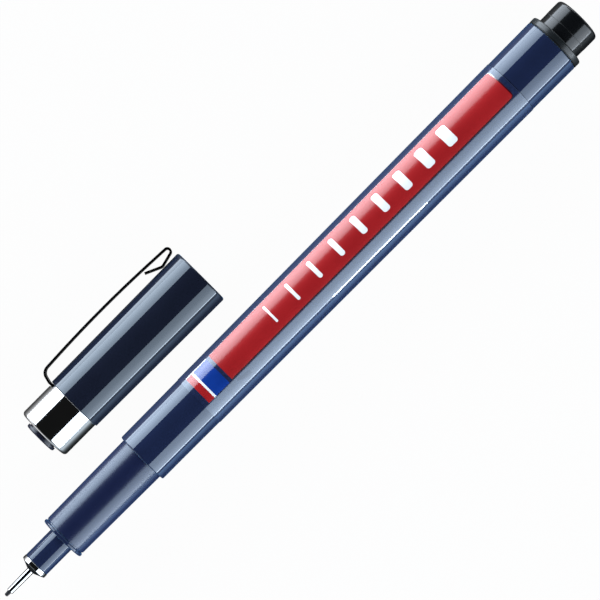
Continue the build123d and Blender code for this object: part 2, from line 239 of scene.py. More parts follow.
class FinelinerClip(bpy.types.PropertyGroup):
    """Sizes of the clip's strip, along and out from the cap's axis"""

    thickness: length("Thickness", "Thickness of the strip", 0.4)
    width: length("Width", "Width of the strip at the collar", 3.9)
    end_width: length("End Width", "Width of the strip at the cap's mouth", 3.2)
    edge_round: length("Edge Rounding", "Rounding of the strip's edges", 0.07)
    riser: length("Riser", "Place of the riser, from the cap's closed end", 7.69)
    toe: length("Toe", "Inner end of the foot", 3.5)
    ear: length("Ear", "Height of the ears that hold the foot", 0.3)
    head_width: length("Head Width", "Width across the ears", 3.578)
    tang_width: length("Tang Width", "Width of the tang in the collar's notch", 2.778)
    shoulder: length("Shoulder", "Where the strip reaches its full width", 5.1)
    stand: length("Stand", "Straight rise above the shoulder", 0.25)
    lean: length("Lean", "How far the riser leans to the bend", 0.52)
    lean_radius: length("Lean Radius", "Radius at the foot of the lean", 1.0)
    root_height: length("Root Height", "Distance of the bend from the cap's axis", 7.345)
    bend_radius: length("Bend Radius", "Radius of the bend into the arm", 1.4)
    crown_at: length("Crown", "Place of the arm's highest point, from the closed end", 22.205)
    crown_height: length("Crown Height", "Distance of that point from the axis", 8.005)
    bow_radius: length("Bow Radius", "Radius of the arm's bow", 229.08)
    loop_at: length("Loop", "Place of the loop, from the closed end", 36.72)
    loop_height: length("Loop Height", "Distance of the arm from the axis at the loop", 7.32)
    loop_radius: length("Loop Radius", "Radius of the loop", 0.56)
    loop_turn: angle("Loop Turn", "How far the loop turns back", 163.0)
    back: length("Back Run", "Straight run from the loop to the foot", 2.19)
    foot_radius: length("Foot Radius", "Radius where the clip rests on the cap", 1.0)
    foot_turn: angle("Foot Turn", "How far the foot turns up again", 38.7)
    tail: length("Tail", "Straight end behind the foot", 2.78)


class FinelinerStage(bpy.types.PropertyGroup):
    """Camera, lamps and floor"""

    view_turn: angle("View Turn", "Turn of the picture about the line of sight", 45.2)
    frame_width: length("Picture Width", "Width of the picture at the pen's axis", 99.2)
    camera_height: length("Camera Height", "Height of the camera over the pen's axis", 600.0)
    camera_x: length("Camera Place", "Place of the camera along the pen", -14.3)
    aim_x: length("Aim Along", "Point that the camera looks at, along the pen", 1.545)
    aim_y: length("Aim Across", "Point that the camera looks at, beside the pen's axis", -0.11)
    lamp_length: length("Lamp Length", "Length of the softboxes along the pen", 950.0)
    far_glow: number("Far Softbox", "Brightness of the softbox on the cap's side", 12.4)
    near_glow: number("Near Softbox", "Brightness of the other softbox", 7.9)
    far_fade: number("Far Fade", "Share of the far softbox's brightness at its top edge", 0.6)
    near_fade: number("Near Fade", "Share of the near softbox's brightness at its top edge", 0.7)
    near_rim: number("Near Rim", "Brightness of the low edge of the near softbox", 21.0)
    low_glow: number("Low Softbox", "Brightness of the softbox that lies on the far side", 10.5)
    low_start: length("Low Softbox Start", "Near edge of that softbox, from the axis of what it lights", 26.9)
    cap_share: number("Cap Share", "Brightness of the cap's lamps as a share of the pen's", 0.75)
    cap_far_share: number("Cap Far Share", "The same for the far softbox", 0.87)
    far_top: length("Far Softbox Top", "Top edge of the softbox on the cap's side", 600.0)
    cap_far_top: length("Cap Far Top", "The same for the softbox that lights the cap", 650.0)
    edge_glow: number("Edge Light", "Brightness of the blue light along the near side at its near edge", 0.4)
    edge_tint: colour("Edge Tint", "Blue of that light", 0.24, 0.55, 1.0)
    edge_near: length("Edge Light Start", "Near edge of that light, from the axis of what it lights", 14.5)
    edge_far: length("Edge Light End", "Far edge of that light", 45.0)
    cap_edge_share: number("Cap Edge Share", "Brightness of that light at the cap as a share of the pen's", 0.35)
    tail_off: number("Tail Off", "Share of the lamps' brightness at the rear of the pen", 0.75)
    lamp_tint: colour("Lamp Tint", "Cool white of the softboxes", 0.79, 0.89, 1.0)
    floor: colour("Floor", "Pale floor", 0.5, 0.5, 0.5)
    floor_lift: number("Floor Lift", "How far the floor is lifted to white", 0.97)
    # Painted shade: the floor is darker close under a piece and dimmer on the near side, only as the pieces mirror it
    contact: number("Contact", "Brightness of the floor close under a piece, as it mirrors it", 0.04)
    near_floor: number("Near Floor", "Brightness of the floor on the near side, as the pieces mirror it", 0.75)
    horizon: number("Horizon", "Brightness of the studio walls beside the pen", 0.9)
    ends: number("Ends", "Brightness of the walls at the pen's ends", 0.16)


# Node building


def rgba(tint, factor=1.0):
    """A colour with full alpha, darker or paler by a factor."""
    return tuple(min(1.0, channel * factor) for channel in tint[:3]) + (1.0,)


def band(middle, width):
    """Both ends of a stretch about its middle."""
    return middle - width / 2, middle + width / 2


def feed(tree, socket, source):
    """Link a source socket to an input, or set the input to a plain value."""
    if isinstance(source, bpy.types.NodeSocket):
        tree.links.new(source, socket)
    else:
        socket.default_value = source


def add_node(tree, kind, sources=None, **settings):
    """Add a node, set its options and feed its inputs, which are given by name or place."""
    node = tree.nodes.new(kind)
    for name, value in settings.items():
        setattr(node, name, value)
    for key, source in (sources or {}).items():
        feed(tree, node.inputs[key], source)
    return node


def calc(tree, operation, *sources):
    """A Math node on sockets or plain numbers."""
    return add_node(tree, "ShaderNodeMath", dict(enumerate(sources)), operation=operation).outputs["Value"]


def ramp(tree, value, low, high, to_low=0.0, to_high=1.0, smooth=True):
    """Map a value from one range to another and hold it there."""
    sources = {"Value": value, "From Min": low, "From Max": high, "To Min": to_low, "To Max": to_high}
    kind = "SMOOTHSTEP" if smooth else "LINEAR"
    return add_node(tree, "ShaderNodeMapRange", sources, interpolation_type=kind).outputs["Result"]


def blend_colours(tree, factor, first, second):
    """Mix two colours by a mask."""
    sources = dict(zip(MIX_INPUTS, (factor, first, second)))
    return add_node(tree, "ShaderNodeMix", sources, data_type="RGBA").outputs[MIX_RESULT]


def noise(tree, vector, scale, detail=2.0, roughness=0.5):
    """Noise on a vector, as a value about 0.5."""
    sources = {"Vector": vector, "Scale": scale, "Detail": detail, "Roughness": roughness}
    return add_node(tree, "ShaderNodeTexNoise", sources).outputs["Fac"]


def stretched(tree, vector, along):
    """Scale a vector so that a pattern runs along the pen."""
    sources = {0: vector, 1: (along, 1.0, 1.0)}
    return add_node(tree, "ShaderNodeVectorMath", sources, operation="MULTIPLY").outputs["Vector"]


def split(tree, vector):
    """X, Y and Z of a vector."""
    return add_node(tree, "ShaderNodeSeparateXYZ", {0: vector}).outputs


def object_coordinates(tree):
    """Object coordinates, in metres in the shared frame."""
    return add_node(tree, "ShaderNodeTexCoord").outputs["Object"]


def clouded(tree, tint, scale, first, second, low=0.35, detail=3.0):
    """A colour that wanders in soft clouds between two shares of its brightness."""
    clouds = ramp(tree, noise(tree, object_coordinates(tree), scale, detail), low, 0.7)
    return blend_colours(tree, clouds, rgba(tint, first), rgba(tint, second))


def add_sockets(group, inputs, outputs, kind="NodeSocketFloat"):
    """Give a node group its float inputs and its outputs, and return both as its nodes see them."""
    for name in inputs:
        group.interface.new_socket(name, in_out="INPUT", socket_type="NodeSocketFloat")
    for name in outputs:
        group.interface.new_socket(name, in_out="OUTPUT", socket_type=kind)
    return add_node(group, "NodeGroupInput").outputs, add_node(group, "NodeGroupOutput").inputs


def use_group(tree, build, **values):
    """Place a node group in a tree, built on its first use, with sockets or plain values on its inputs."""
    name = build.__name__.replace("_", " ").title()
    if name not in bpy.data.node_groups:
        build(bpy.data.node_groups.new(name, "ShaderNodeTree"))
    sources = {key.replace("_", " ").title(): source for key, source in values.items()}
    return add_node(tree, "ShaderNodeGroup", sources, node_tree=bpy.data.node_groups[name]).outputs


def wrap_coordinates(group):
    """Station along a turned piece and turn from its top."""
    given, result = add_sockets(group, ("Front", "Axis Y", "Axis Z"), ("Station", "Turn"))
    place = split(group, object_coordinates(group))
    across = calc(group, "SUBTRACT", given["Axis Y"], place["Y"])
    height = calc(group, "SUBTRACT", place["Z"], given["Axis Z"])
    feed(group, result["Station"], calc(group, "SUBTRACT", place["X"], given["Front"]))
    feed(group, result["Turn"], calc(group, "ARCTAN2", across, height))


def round_normal(group):
    """True normal of a turned surface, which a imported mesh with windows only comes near."""
    given, result = add_sockets(group, ("Axis Y", "Axis Z", "Taper"), ("Normal",), "NodeSocketVector")
    place = split(group, object_coordinates(group))
    sides = {side: calc(group, "SUBTRACT", place[side], given["Axis " + side]) for side in ("Y", "Z")}
    outward = add_node(group, "ShaderNodeCombineXYZ", sides).outputs["Vector"]
    unit = add_node(group, "ShaderNodeVectorMath", {0: outward}, operation="NORMALIZE").outputs["Vector"]
    forward = calc(group, "MULTIPLY", given["Taper"], -1.0)
    lean = add_node(group, "ShaderNodeCombineXYZ", {"X": forward}).outputs["Vector"]
    leaning = add_node(group, "ShaderNodeVectorMath", {0: unit, 1: lean}, operation="ADD").outputs["Vector"]
    spaces = {"convert_from": "OBJECT", "convert_to": "WORLD"}
    turned = add_node(group, "ShaderNodeVectorTransform", {"Vector": leaning}, vector_type="NORMAL", **spaces)
    feed(group, result["Normal"], turned.outputs["Vector"])


def printed_patch(group):
    """Mask of a printed patch with rounded corners, in lengths along and across."""
    lengths = ("Along", "Across", "Middle Along", "Middle Across", "Half Along", "Half Across", "Corner", "Edge")
    given, result = add_sockets(group, lengths, ("Mask",))
    beyond = []
    for axis in ("Along", "Across"):
        away = calc(group, "ABSOLUTE", calc(group, "SUBTRACT", given[axis], given["Middle " + axis]))
        inner = calc(group, "SUBTRACT", given["Half " + axis], given["Corner"])
        beyond.append(calc(group, "MAXIMUM", calc(group, "SUBTRACT", away, inner), 0.0))
    squares = calc(group, "ADD", calc(group, "POWER", beyond[0], 2.0), calc(group, "POWER", beyond[1], 2.0))
    edge_distance = calc(group, "SUBTRACT", calc(group, "SQRT", squares), given["Corner"])
    soft = calc(group, "MULTIPLY", given["Edge"], -1.0)
    feed(group, result["Mask"], ramp(group, edge_distance, soft, given["Edge"], 1.0, 0.0))


def moulded_skin(group):
    """Fine skin of a moulded surface: its height and how its roughness wanders."""
    given, result = add_sockets(group, ("Roughness", "Wander", "Smudge"), ("Roughness", "Height"))
    place = object_coordinates(group)
    fine = noise(group, place, SKIN_GRAIN, 3.0)
    patches = ramp(group, noise(group, stretched(group, place, 0.5), HANDLED_PATCHES, 4.0, 0.6), 0.48, 0.72)
    streaks = ramp(group, noise(group, stretched(group, place, 0.05), HANDLED_STREAKS), 0.55, 0.75)
    wander = calc(group, "MULTIPLY", calc(group, "SUBTRACT", fine, 0.5), given["Wander"])
    handled = calc(group, "MAXIMUM", patches, calc(group, "MULTIPLY", streaks, 0.5))
    handled = calc(group, "MULTIPLY", handled, given["Smudge"])
    feed(group, result["Roughness"], calc(group, "ADD", calc(group, "ADD", given["Roughness"], wander), handled))
    feed(group, result["Height"], fine)


def polish_lines(group):
    """Fine turning lines round a polished metal piece."""
    given, result = add_sockets(group, ("Station", "Roughness", "Wander"), ("Roughness", "Height"))
    place = add_node(group, "ShaderNodeCombineXYZ", {"X": given["Station"]})
    lines = noise(group, place.outputs["Vector"], TURNING_LINES, 4.0, 0.65)
    rubs = noise(group, object_coordinates(group), RUB_MARKS, 3.0)
    marks = ramp(group, calc(group, "MULTIPLY", lines, rubs), 0.18, 0.4)
    wander = calc(group, "MULTIPLY", marks, given["Wander"])
    feed(group, result["Roughness"], calc(group, "ADD", given["Roughness"], wander))
    feed(group, result["Height"], lines)


# Finishes


def start_material(name, metallic=0.0, ior=1.5, gloss=WHITE, edge=0.0):
    """A new material, its node tree and its shader."""
    material = bpy.data.materials.new(name)
    material.use_nodes = True
    shader = material.node_tree.nodes["Principled BSDF"]
    for socket, value in (
        ("Metallic", metallic),
        ("IOR", ior),
        ("Specular Tint", rgba(gloss)),
        ("Sheen Weight", edge),
        ("Sheen Roughness", EDGE_ROUGHNESS),
        ("Sheen Tint", rgba(BLUE_EDGE)),
    ):
        shader.inputs[socket].default_value = value
    return material, material.node_tree, shader


def bump(tree, shader, height, distance, **normal):
    """Feed a height pattern to a shader's normal, on top of another normal if one is given."""
    node = add_node(tree, "ShaderNodeBump", {"Height": height, "Distance": distance, **normal})
    tree.links.new(node.outputs["Normal"], shader.inputs["Normal"])


def paint(tree, shader, source):
    """Give a shader its colour."""
    feed(tree, shader.inputs["Base Color"], source)


def overlay(tree, shader, mask, tint):
    """Blend a colour over what a shader shows, where a mask is set."""
    ground = shader.inputs["Base Color"].links[0].from_socket
    paint(tree, shader, blend_colours(tree, mask, ground, rgba(tint)))


def wrap_on(tree, node):
    """Wrap coordinates about the axis of a turned node, from the front of its body."""
    axis = node_span(node)[3]
    front = node_span("nib" if node == "barrel" else "cap_end_plug")[0]
    return use_group(tree, wrap_coordinates, front=front, axis_y=axis.y, axis_z=axis.z)


def moulded(name, tint, roughness, wander, smudge, skin_depth, **look):
    """Moulded plastic with a fine skin, handling marks and slightly uneven colour."""
    material, tree, shader = start_material(name, **look)
    skin = use_group(tree, moulded_skin, roughness=roughness, wander=wander, smudge=smudge)
    paint(tree, shader, clouded(tree, tint, PLASTIC_CLOUDS, 0.85, 1.0, 0.3))
    feed(tree, shader.inputs["Roughness"], skin["Roughness"])
    bump(tree, shader, skin["Height"], skin_depth)
    return material


def polished(name, tint, node, roughness, wander, line_depth):
    """Bright metal with fine turning lines."""
    material, tree, shader = start_material(name, metallic=1.0)
    station = wrap_on(tree, node)["Station"]
    polish = use_group(tree, polish_lines, station=station, roughness=roughness, wander=wander)
    paint(tree, shader, clouded(tree, tint, METAL_CLOUDS, 1.0, 0.93))
    feed(tree, shader.inputs["Roughness"], polish["Roughness"])
    bump(tree, shader, polish["Height"], line_depth)
    return material


def fibrous(name, tint, light, roughness, depth):
    """Bundled fibre that runs along the pen, darker where it holds ink."""
    material, tree, shader = start_material(name, ior=1.3)
    place = object_coordinates(tree)
    strands = noise(tree, stretched(tree, place, 0.06), FIBRE_STRANDS, 3.0)
    soak = noise(tree, place, INK_SOAK, 3.0)
    dry = ramp(tree, calc(tree, "MULTIPLY", strands, soak), 0.15, 0.42)
    paint(tree, shader, blend_colours(tree, dry, rgba(tint), rgba(tint, light)))
    feed(tree, shader.inputs["Roughness"], ramp(tree, soak, 0.3, 0.7, roughness, min(1.0, roughness + 0.2)))
    bump(tree, shader, strands, depth)
    return material


def patch(tree, along, across, span, rise, corner, edge=PRINT_EDGE):
    """Mask of a patch with rounded corners, from one length along to another and from one across to another."""
    sizes = {"corner": corner, "edge": edge}
    for axis, place, (start, stop) in (("along", along, span), ("across", across, rise)):
        sizes |= {axis: place, "middle_" + axis: (start + stop) / 2, "half_" + axis: (stop - start) / 2}
    return use_group(tree, printed_patch, **sizes)["Mask"]


def zone(material, node, front, rear, tint=None, roughness=None, dull=False, coat=0.0):
    """Give a stretch along a turned piece another colour, roughness or coat, or take its gloss away."""
    tree = material.node_tree
    shader = tree.nodes["Principled BSDF"]
    mask = patch(tree, wrap_on(tree, node)["Station"], 0.0, (front, rear), (-1.0, 1.0), 0.0, ZONE_EDGE)
    if tint:
        overlay(tree, shader, mask, tint)
    if roughness:
        ground = shader.inputs["Roughness"].links[0].from_socket
        feed(tree, shader.inputs["Roughness"], ramp(tree, mask, 0.0, 1.0, ground, roughness, False))
    if dull:
        feed(tree, shader.inputs["Metallic"], mask)
    if coat:
        shader.inputs["Coat Roughness"].default_value = roughness
        feed(tree, shader.inputs["Coat Weight"], calc(tree, "MULTIPLY", mask, coat))
    return material


def painted_joint_shade(material, node, place, before, after, dull=True):
    """Paint the shade in the gap where two pieces meet as a dark line, so far before and after the joint."""
    return zone(material, node, place - before, place + after, JOINT_SHADE_TINT, JOINT_SHADE_ROUGHNESS, dull)


def dress(material, *nodes):
    """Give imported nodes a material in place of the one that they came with."""
    for name in nodes:
        slots = bpy.data.objects[name].data.materials
        slots.clear()
        slots.append(material)


# Label print


def film_skin(tree, shader, roughness):
    """Clear film over the print: a wandering gloss with a very fine grain."""
    skin = use_group(tree, moulded_skin, roughness=roughness, wander=0.05, smudge=0.01)
    feed(tree, shader.inputs["Roughness"], skin["Roughness"])
    front, rear, radius, axis = node_span("barrel")
    taper = (radius - node_span("grip_sleeve")[2]) / (rear - front)
    normal = use_group(tree, round_normal, axis_y=axis.y, axis_z=axis.z, taper=taper)["Normal"]
    bump(tree, shader, skin["Height"], 1.2 * UM, Normal=normal)


def label_frame(tree):
    """Lengths along and round the label, measured from the nib's tip and the top of the barrel, and its radius."""
    wrap = wrap_on(tree, "barrel")
    radius = node_span("label_film")[2]
    return wrap["Station"], calc(tree, "MULTIPLY", wrap["Turn"], radius), radius


def print_bounds(node):
    """Front, rear, upper and lower edge of a node of the label, as lengths along and round it."""
    low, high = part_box(node)
    front = node_span("nib")[0]
    axis = node_span("barrel")[3]
    radius = node_span("label_film")[2]
    upper = -math.atan2(high.y - axis.y, low.z - axis.z) if low.z > axis.z else -math.pi / 2
    lower = math.asin(min(1.0, (axis.y - low.y) / radius))
    return low.x - front, high.x - front, upper * radius, lower * radius


def film_material(colours, label):
    """Film over the bare barrel, with one thin white line, and a painted highlight line and a dull painted shade line
    at its rear end.
    """
    material, tree, shader = start_material("label_film_look", ior=1.6, gloss=BLUE_GLOSS, edge=0.5)
    along, across, radius = label_frame(tree)
    film_skin(tree, shader, FILM_ROUGHNESS)
    paint(tree, shader, clouded(tree, colours.film, FILM_SPECKLE, 1.0, 1.5, detail=2.0))
    rear = print_bounds("label_film")[1]
    # Painted light: a paler line stands in for a highlight on the film's rear edge, and a dull dark line behind it
    # for the shade at the film's step
    for (start, stop), tint in ((FILM_EDGE, FILM_HIGHLIGHT_TINT), (FILM_END, FILM_END_SHADE_TINT)):
        line = ramp(tree, along, rear - start, rear - stop)
        overlay(tree, shader, line, tint)
    feed(tree, shader.inputs["Metallic"], line)
    rise = band(label.line_turn * radius, label.line_width)
    thin = patch(tree, along, across, (label.line_front, label.line_rear), rise, label.line_width / 2)
    overlay(tree, shader, thin, colours.white)
    return material


def panel_material(colours, label):
    """Red panel with a white edge line, a printed border kept along the top as a painted highlight, that fades into a
    painted shadow line down the rear and along the lower edge, and a row of strokes from fine to bold.
    """
    material, tree, shader = start_material("label_panel_look", ior=1.46, gloss=WARM_GLOSS)
    along, across, radius = label_frame(tree)
    film_skin(tree, shader, 0.22)
    front, rear, upper, lower = print_bounds("label_panel")
    rise = band(label.stroke_turn * radius, label.stroke_height)
    strokes = 0.0
    for index in range(label.strokes):
        share = index / max(1, label.strokes - 1)
        width = label.stroke_fine + share * (label.stroke_bold - label.stroke_fine)
        span = band(label.strokes_front + share * (label.strokes_rear - label.strokes_front), width)
        stroke = patch(tree, along, across, span, rise, min(width / 2, STROKE_CORNER), STROKE_EDGE)
        strokes = calc(tree, "MAXIMUM", strokes, stroke)
    red = clouded(tree, colours.red, RED_CLOUDS, 1.0, 0.9)
    ground = blend_colours(tree, strokes, red, rgba(colours.white))
    # The patch inside the edge lines starts ahead of the panel, so that only its rear corners are round
    span = (front - 2 * label.corner, rear - label.border)
    rise = (upper + label.border, lower - label.shade)
    inside = patch(tree, along, across, span, rise, label.corner - label.border)
    # Painted light: the edge line is white along the top as a painted highlight, partly a printed border, and darkens
    # down the rear edge into a painted shadow line, a darkened copy of the red, along the lower edge
    top_highlight_fade = ramp(tree, across, upper + label.corner, upper + 4 * label.corner)
    rim = blend_colours(tree, top_highlight_fade, rgba(colours.white), rgba(colours.red, 0.12))
    paint(tree, shader, blend_colours(tree, inside, rim, ground))
    return material


def block_material(colours, label):
    """Blue block with a red and a white band round its front, and a white line along its top edge as a painted
    highlight.
    """
    material, tree, shader = start_material("label_block_look")
    along, across, _ = label_frame(tree)
    film_skin(tree, shader, 0.11)
    front, _, upper, _ = print_bounds("label_block")
    paint(tree, shader, clouded(tree, colours.blue, BLUE_CLOUDS, 1.0, 0.85))
    red_end = front + label.block_red
    for place, end, tint in (
        (along, red_end + label.block_white, colours.white),
        (along, red_end, colours.red),
        # Painted highlight: the white line along the top edge, partly a printed border
        (across, upper + label.border, colours.white),
    ):
        overlay(tree, shader, ramp(tree, place, end - PRINT_EDGE, end + PRINT_EDGE, 1.0, 0.0), tint)
    return material


# Clip strip


def corner_turns(points):
    """Signed turn at each inner corner of a line of points."""
    turns = []
    for before, here, after in zip(points, points[1:], points[2:]):
        first, second = (here - before).normalized(), (after - here).normalized()
        turns.append(math.atan2(first.x * second.y - first.y * second.x, first.dot(second)))
    return turns


def strip_moves(points, radii):
    """Straight runs and bends that follow a line of points with rounded corners."""
    turns = corner_turns(points)
    cuts = [0.0] + [radius * math.tan(abs(turn) / 2) for radius, turn in zip(radii, turns)] + [0.0]
    moves = []
    for index, (start, end) in enumerate(zip(points, points[1:])):
        moves.append(("run", (end - start).length - cuts[index] - cuts[index + 1], 0.0))
        if index < len(turns):
            moves.append(("bend", radii[index], turns[index]))
    return moves


class StripMaker:
    """Draws a flat strip out of its own end ring, run by run and bend by bend."""

    def __init__(self, mesh, start, heading, thickness, width, rounding):
        self.mesh = mesh
        self.place = start.copy()
        self.heading = heading
        self.width = width
        ring = bmesh.ops.create_circle(mesh, segments=4, radius=math.sqrt(0.5), cap_ends=False)["verts"]
        bmesh.ops.rotate(mesh, verts=ring, cent=(0, 0, 0), matrix=Matrix.Rotation(math.pi / 4, 3, "Z"))
        bmesh.ops.scale(mesh, verts=ring, vec=(thickness, width, 1.0))
        shape = {"offset": rounding, "offset_type": "OFFSET", "segments": EDGE_SEGMENTS, "profile": 0.5}
        bmesh.ops.bevel(mesh, geom=ring, affect="VERTICES", material=-1, **shape)
        side = Vector((self.direction().y, -self.direction().x, 0.0))
        turn = axes_at(start, side, Vector((0, 0, 1)), self.direction())
        bmesh.ops.transform(mesh, matrix=turn, verts=mesh.verts[:])
        self.ring = mesh.edges[:]
        self.first_ring = mesh.edges[:]

    def direction(self):
        """Heading as a vector in the strip's own plane."""
        return Vector((math.cos(self.heading), math.sin(self.heading), 0.0))

    def ring_verts(self):
        """Vertices of the strip's end."""
        return list({vert for edge in self.ring for vert in edge.verts})

    def run(self, distance):
        """Go straight on."""
        grown = bmesh.ops.extrude_edge_only(self.mesh, edges=self.ring)["geom"]
        self.ring = [item for item in grown if isinstance(item, bmesh.types.BMEdge)]
        bmesh.ops.translate(self.mesh, verts=self.ring_verts(), vec=self.direction() * distance)
        self.place += self.direction() * distance

    def bend(self, radius, turn):
        """Turn about a centre beside the strip, to the left for a positive turn."""
        side = Vector((-self.direction().y, self.direction().x, 0.0))
        centre = self.place + side * math.copysign(radius, turn)
        steps = max(BEND_STEPS, math.ceil(abs(turn) / BEND_STEP)) if abs(turn) > SHARP_BEND else SOFT_STEPS
        sweep = {"cent": centre, "axis": (0, 0, 1), "angle": turn, "steps": steps, "use_merge": False}
        swept = bmesh.ops.spin(self.mesh, geom=self.ring_verts() + self.ring, **sweep)["geom_last"]
        self.ring = [item for item in swept if isinstance(item, bmesh.types.BMEdge)]
        self.place = centre + Matrix.Rotation(turn, 3, "Z") @ (self.place - centre)
        self.heading += turn

    def widen(self, width):
        """Step to another width without moving on."""
        self.run(0.0)
        share = Vector((1.0, 1.0, width / self.width))
        bmesh.ops.scale(self.mesh, verts=self.ring_verts(), vec=share, space=Matrix.Translation(-self.place))
        self.width = width

    def close(self):
        """Close both ends."""
        for edges in (self.first_ring, self.ring):
            bmesh.ops.edgeloop_fill(self.mesh, edges=edges)


def clip_mesh(sizes):
    """The clip as one strip: foot, riser, bowed arm, loop and tail."""
    _, mouth, _, axis = node_span("cap_body")
    start = axis + Vector((node_span("cap_end_plug")[0] + sizes.riser, sizes.toe, 0.0))
    mesh = bmesh.new()
    strip = StripMaker(mesh, start, math.pi / 2, sizes.thickness, sizes.head_width, sizes.edge_round)
    strip.run(sizes.ear)
    strip.widen(sizes.tang_width)
    strip.run(sizes.shoulder - sizes.toe - sizes.ear)
    strip.widen(sizes.width)
    points = [
        Vector((sizes.riser, sizes.shoulder)),
        Vector((sizes.riser, sizes.shoulder + sizes.stand)),
        Vector((sizes.riser + sizes.lean, sizes.root_height)),
        Vector((sizes.crown_at, sizes.crown_height)),
        Vector((sizes.loop_at, sizes.loop_height)),
    ]
    moves = strip_moves(points, [sizes.lean_radius, sizes.bend_radius, sizes.bow_radius])
    moves += [
        ("bend", sizes.loop_radius, -sizes.loop_turn),
        ("run", sizes.back, 0.0),
        ("bend", sizes.foot_radius, -sizes.foot_turn),
        ("run", sizes.tail, 0.0),
    ]
    for kind, distance, turn in moves:
        if kind == "run":
            strip.run(distance)
        else:
            strip.bend(distance, turn)
    strip.close()
    taper_from = node_span("cap_collar")[1]
    for vert in mesh.verts:
        share = min(1.0, max(0.0, (vert.co.x - taper_from) / (mouth - taper_from)))
        if vert.co.y - axis.y > sizes.shoulder:
            narrow = 1.0 + share * (sizes.end_width / sizes.width - 1.0)
            vert.co.z = axis.z + (vert.co.z - axis.z) * narrow
    bmesh.ops.remove_doubles(mesh, verts=mesh.verts[:], dist=MERGE_DISTANCE)
    bmesh.ops.recalc_face_normals(mesh, faces=mesh.faces[:])
    return mesh


def clip_material(colours):
    """Bright plating, with near-black painted shade on the strip's cut edges and on the side that faces the cap."""
    material = polished("clip_look", colours.plating, "cap_body", 0.03, 0.02, 0.2 * UM)
    tree = material.node_tree
    facing = split(tree, add_node(tree, "ShaderNodeNewGeometry").outputs["Normal"])
    # Painted shade: near-black where the strip's edges face up and down, and on its side that faces the cap
    cut = ramp(tree, calc(tree, "ABSOLUTE", facing["Z"]), 0.35, 0.75)
    inner = ramp(tree, facing["Y"], -0.9, -0.5, 1.0, 0.0)
    overlay(tree, tree.nodes["Principled BSDF"], calc(tree, "MAXIMUM", cut, inner), EDGE_SHADE_TINT)
    return material


def place_mesh(name, mesh, material):
    """Make an object of a mesh and put it in the scene."""
    data = bpy.data.meshes.new(name)
    mesh.to_mesh(data)
    mesh.free()
    data.materials.append(material)
    item = bpy.data.objects.new(name, data)
    bpy.context.scene.collection.objects.link(item)
    return item


def finish_piece(name, mesh, material, body, slot, *nodes):
    """Make a piece of a mesh, shade it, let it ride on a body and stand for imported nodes."""
    for face in mesh.faces:
        face.smooth = True
    piece = place_mesh(name, mesh, material)
    piece.data.set_sharp_from_angle(angle=CREASE)
    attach(piece, body)
    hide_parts(*nodes)
    return piece


# Stage


def light_group(name, pieces):
    """A collection of the pieces that a set of lamps lights, or of those that shade it."""
    group = bpy.data.collections.new(name)
    for piece in pieces:
        group.objects.link(piece)
    return group


def softbox(stage, name, top, bottom, along, lamp_length, glow, fade, lit, shading, tint=None):
    """A long softbox beside the pen, between its top and bottom edge, that faces the pen."""
    upper, lower = Vector((along, *top)), Vector((along, *bottom))
    middle = (upper + lower) / 2
    rise = (upper - lower).normalized()
    right = Vector((1.0, 0.0, 0.0))
    if right.cross(rise).dot(middle - Vector((along, 0.0, FACED_HEIGHT))) < 0:
        right = -right
    lamp = bpy.data.lights.new(name, "AREA")
    lamp.shape = "RECTANGLE"
    lamp.size = lamp_length
    lamp.size_y = (upper - lower).length
    lamp.color = (tint or stage.lamp_tint)[:3]
    lamp.energy = glow * math.pi * lamp.size * lamp.size_y
    lamp.use_nodes = True
    tree = lamp.node_tree
    surface = add_node(tree, "ShaderNodeNewGeometry").outputs
    upward = ramp(tree, split(tree, surface["Parametric"])["Y"], 0.0, 1.0, 1.0, fade, False)
    rearward = ramp(tree, split(tree, surface["Position"])["X"], *TAIL_RANGE, 1.0, stage.tail_off, False)
    tree.links.new(calc(tree, "MULTIPLY", upward, rearward), tree.nodes["Emission"].inputs["Strength"])
    holder = bpy.data.objects.new(name, lamp)
    bpy.context.scene.collection.objects.link(holder)
    holder.matrix_world = axes_at(middle, right, rise, right.cross(rise))
    holder.visible_camera = False
    holder.light_linking.receiver_collection = lit
    holder.light_linking.blocker_collection = shading


def place_lamps(stage, pen, cap, floor):
    """Separate softboxes for the pen, the cap and the floor, and lamps that lie beside the pen and the cap."""
    boxes = (
        ("far", (FAR_TOP_ACROSS, stage.far_top), FAR_BOTTOM, stage.far_glow, stage.far_fade),
        ("near", NEAR_TOP, NEAR_BOTTOM, stage.near_glow, stage.near_fade),
        ("rim", NEAR_BOTTOM, RIM_BOTTOM, stage.near_rim, 1.0),
    )
    for kind, lit, shading, share in (
        ("pen", pen, pen, 1.0),
        ("cap", cap, cap, stage.cap_share),
        ("floor", [floor], pen + cap, 1.0),
    ):
        wide = [item for item in lit if item.name != "nib_tube"]
        lit, shading = light_group(kind + "_lit", lit), light_group(kind + "_shading", shading)
        for name, top, bottom, glow, fade in boxes:
            glow *= share
            if (kind, name) == ("cap", "far"):
                glow, top = stage.far_glow * stage.cap_far_share, (FAR_TOP_ACROSS, stage.cap_far_top)
            place = (stage.aim_x, stage.lamp_length)
            softbox(stage, f"{kind}_{name}", top, bottom, *place, glow, fade, lit, shading)
        if kind == "floor":
            continue
        body, plastic, edge_share = {
            "pen": ("barrel", ("front_section", "grip_sleeve", "barrel", "label_film"), 1.0),
            "cap": ("cap_body", ("cap_body",), stage.cap_edge_share),
        }[kind]
        middle = node_span(body)[3].y
        wide = light_group(kind + "_wide", wide)
        ends = ((LOW_END, LYING_HEIGHT), (middle + stage.low_start, LYING_HEIGHT))
        softbox(stage, f"{kind}_low", *ends, *LOW_PLACE, stage.low_glow * share, 1.0, wide, shading)
        plastic = light_group(kind + "_plastic", [bpy.data.objects[name] for name in plastic])
        ends = ((middle - stage.edge_far, LYING_HEIGHT), (middle - stage.edge_near, LYING_HEIGHT))
        glow = stage.edge_glow * edge_share
        softbox(stage, f"{kind}_edge", *ends, *EDGE_PLACE, glow, EDGE_FADE, plastic, shading, stage.edge_tint)


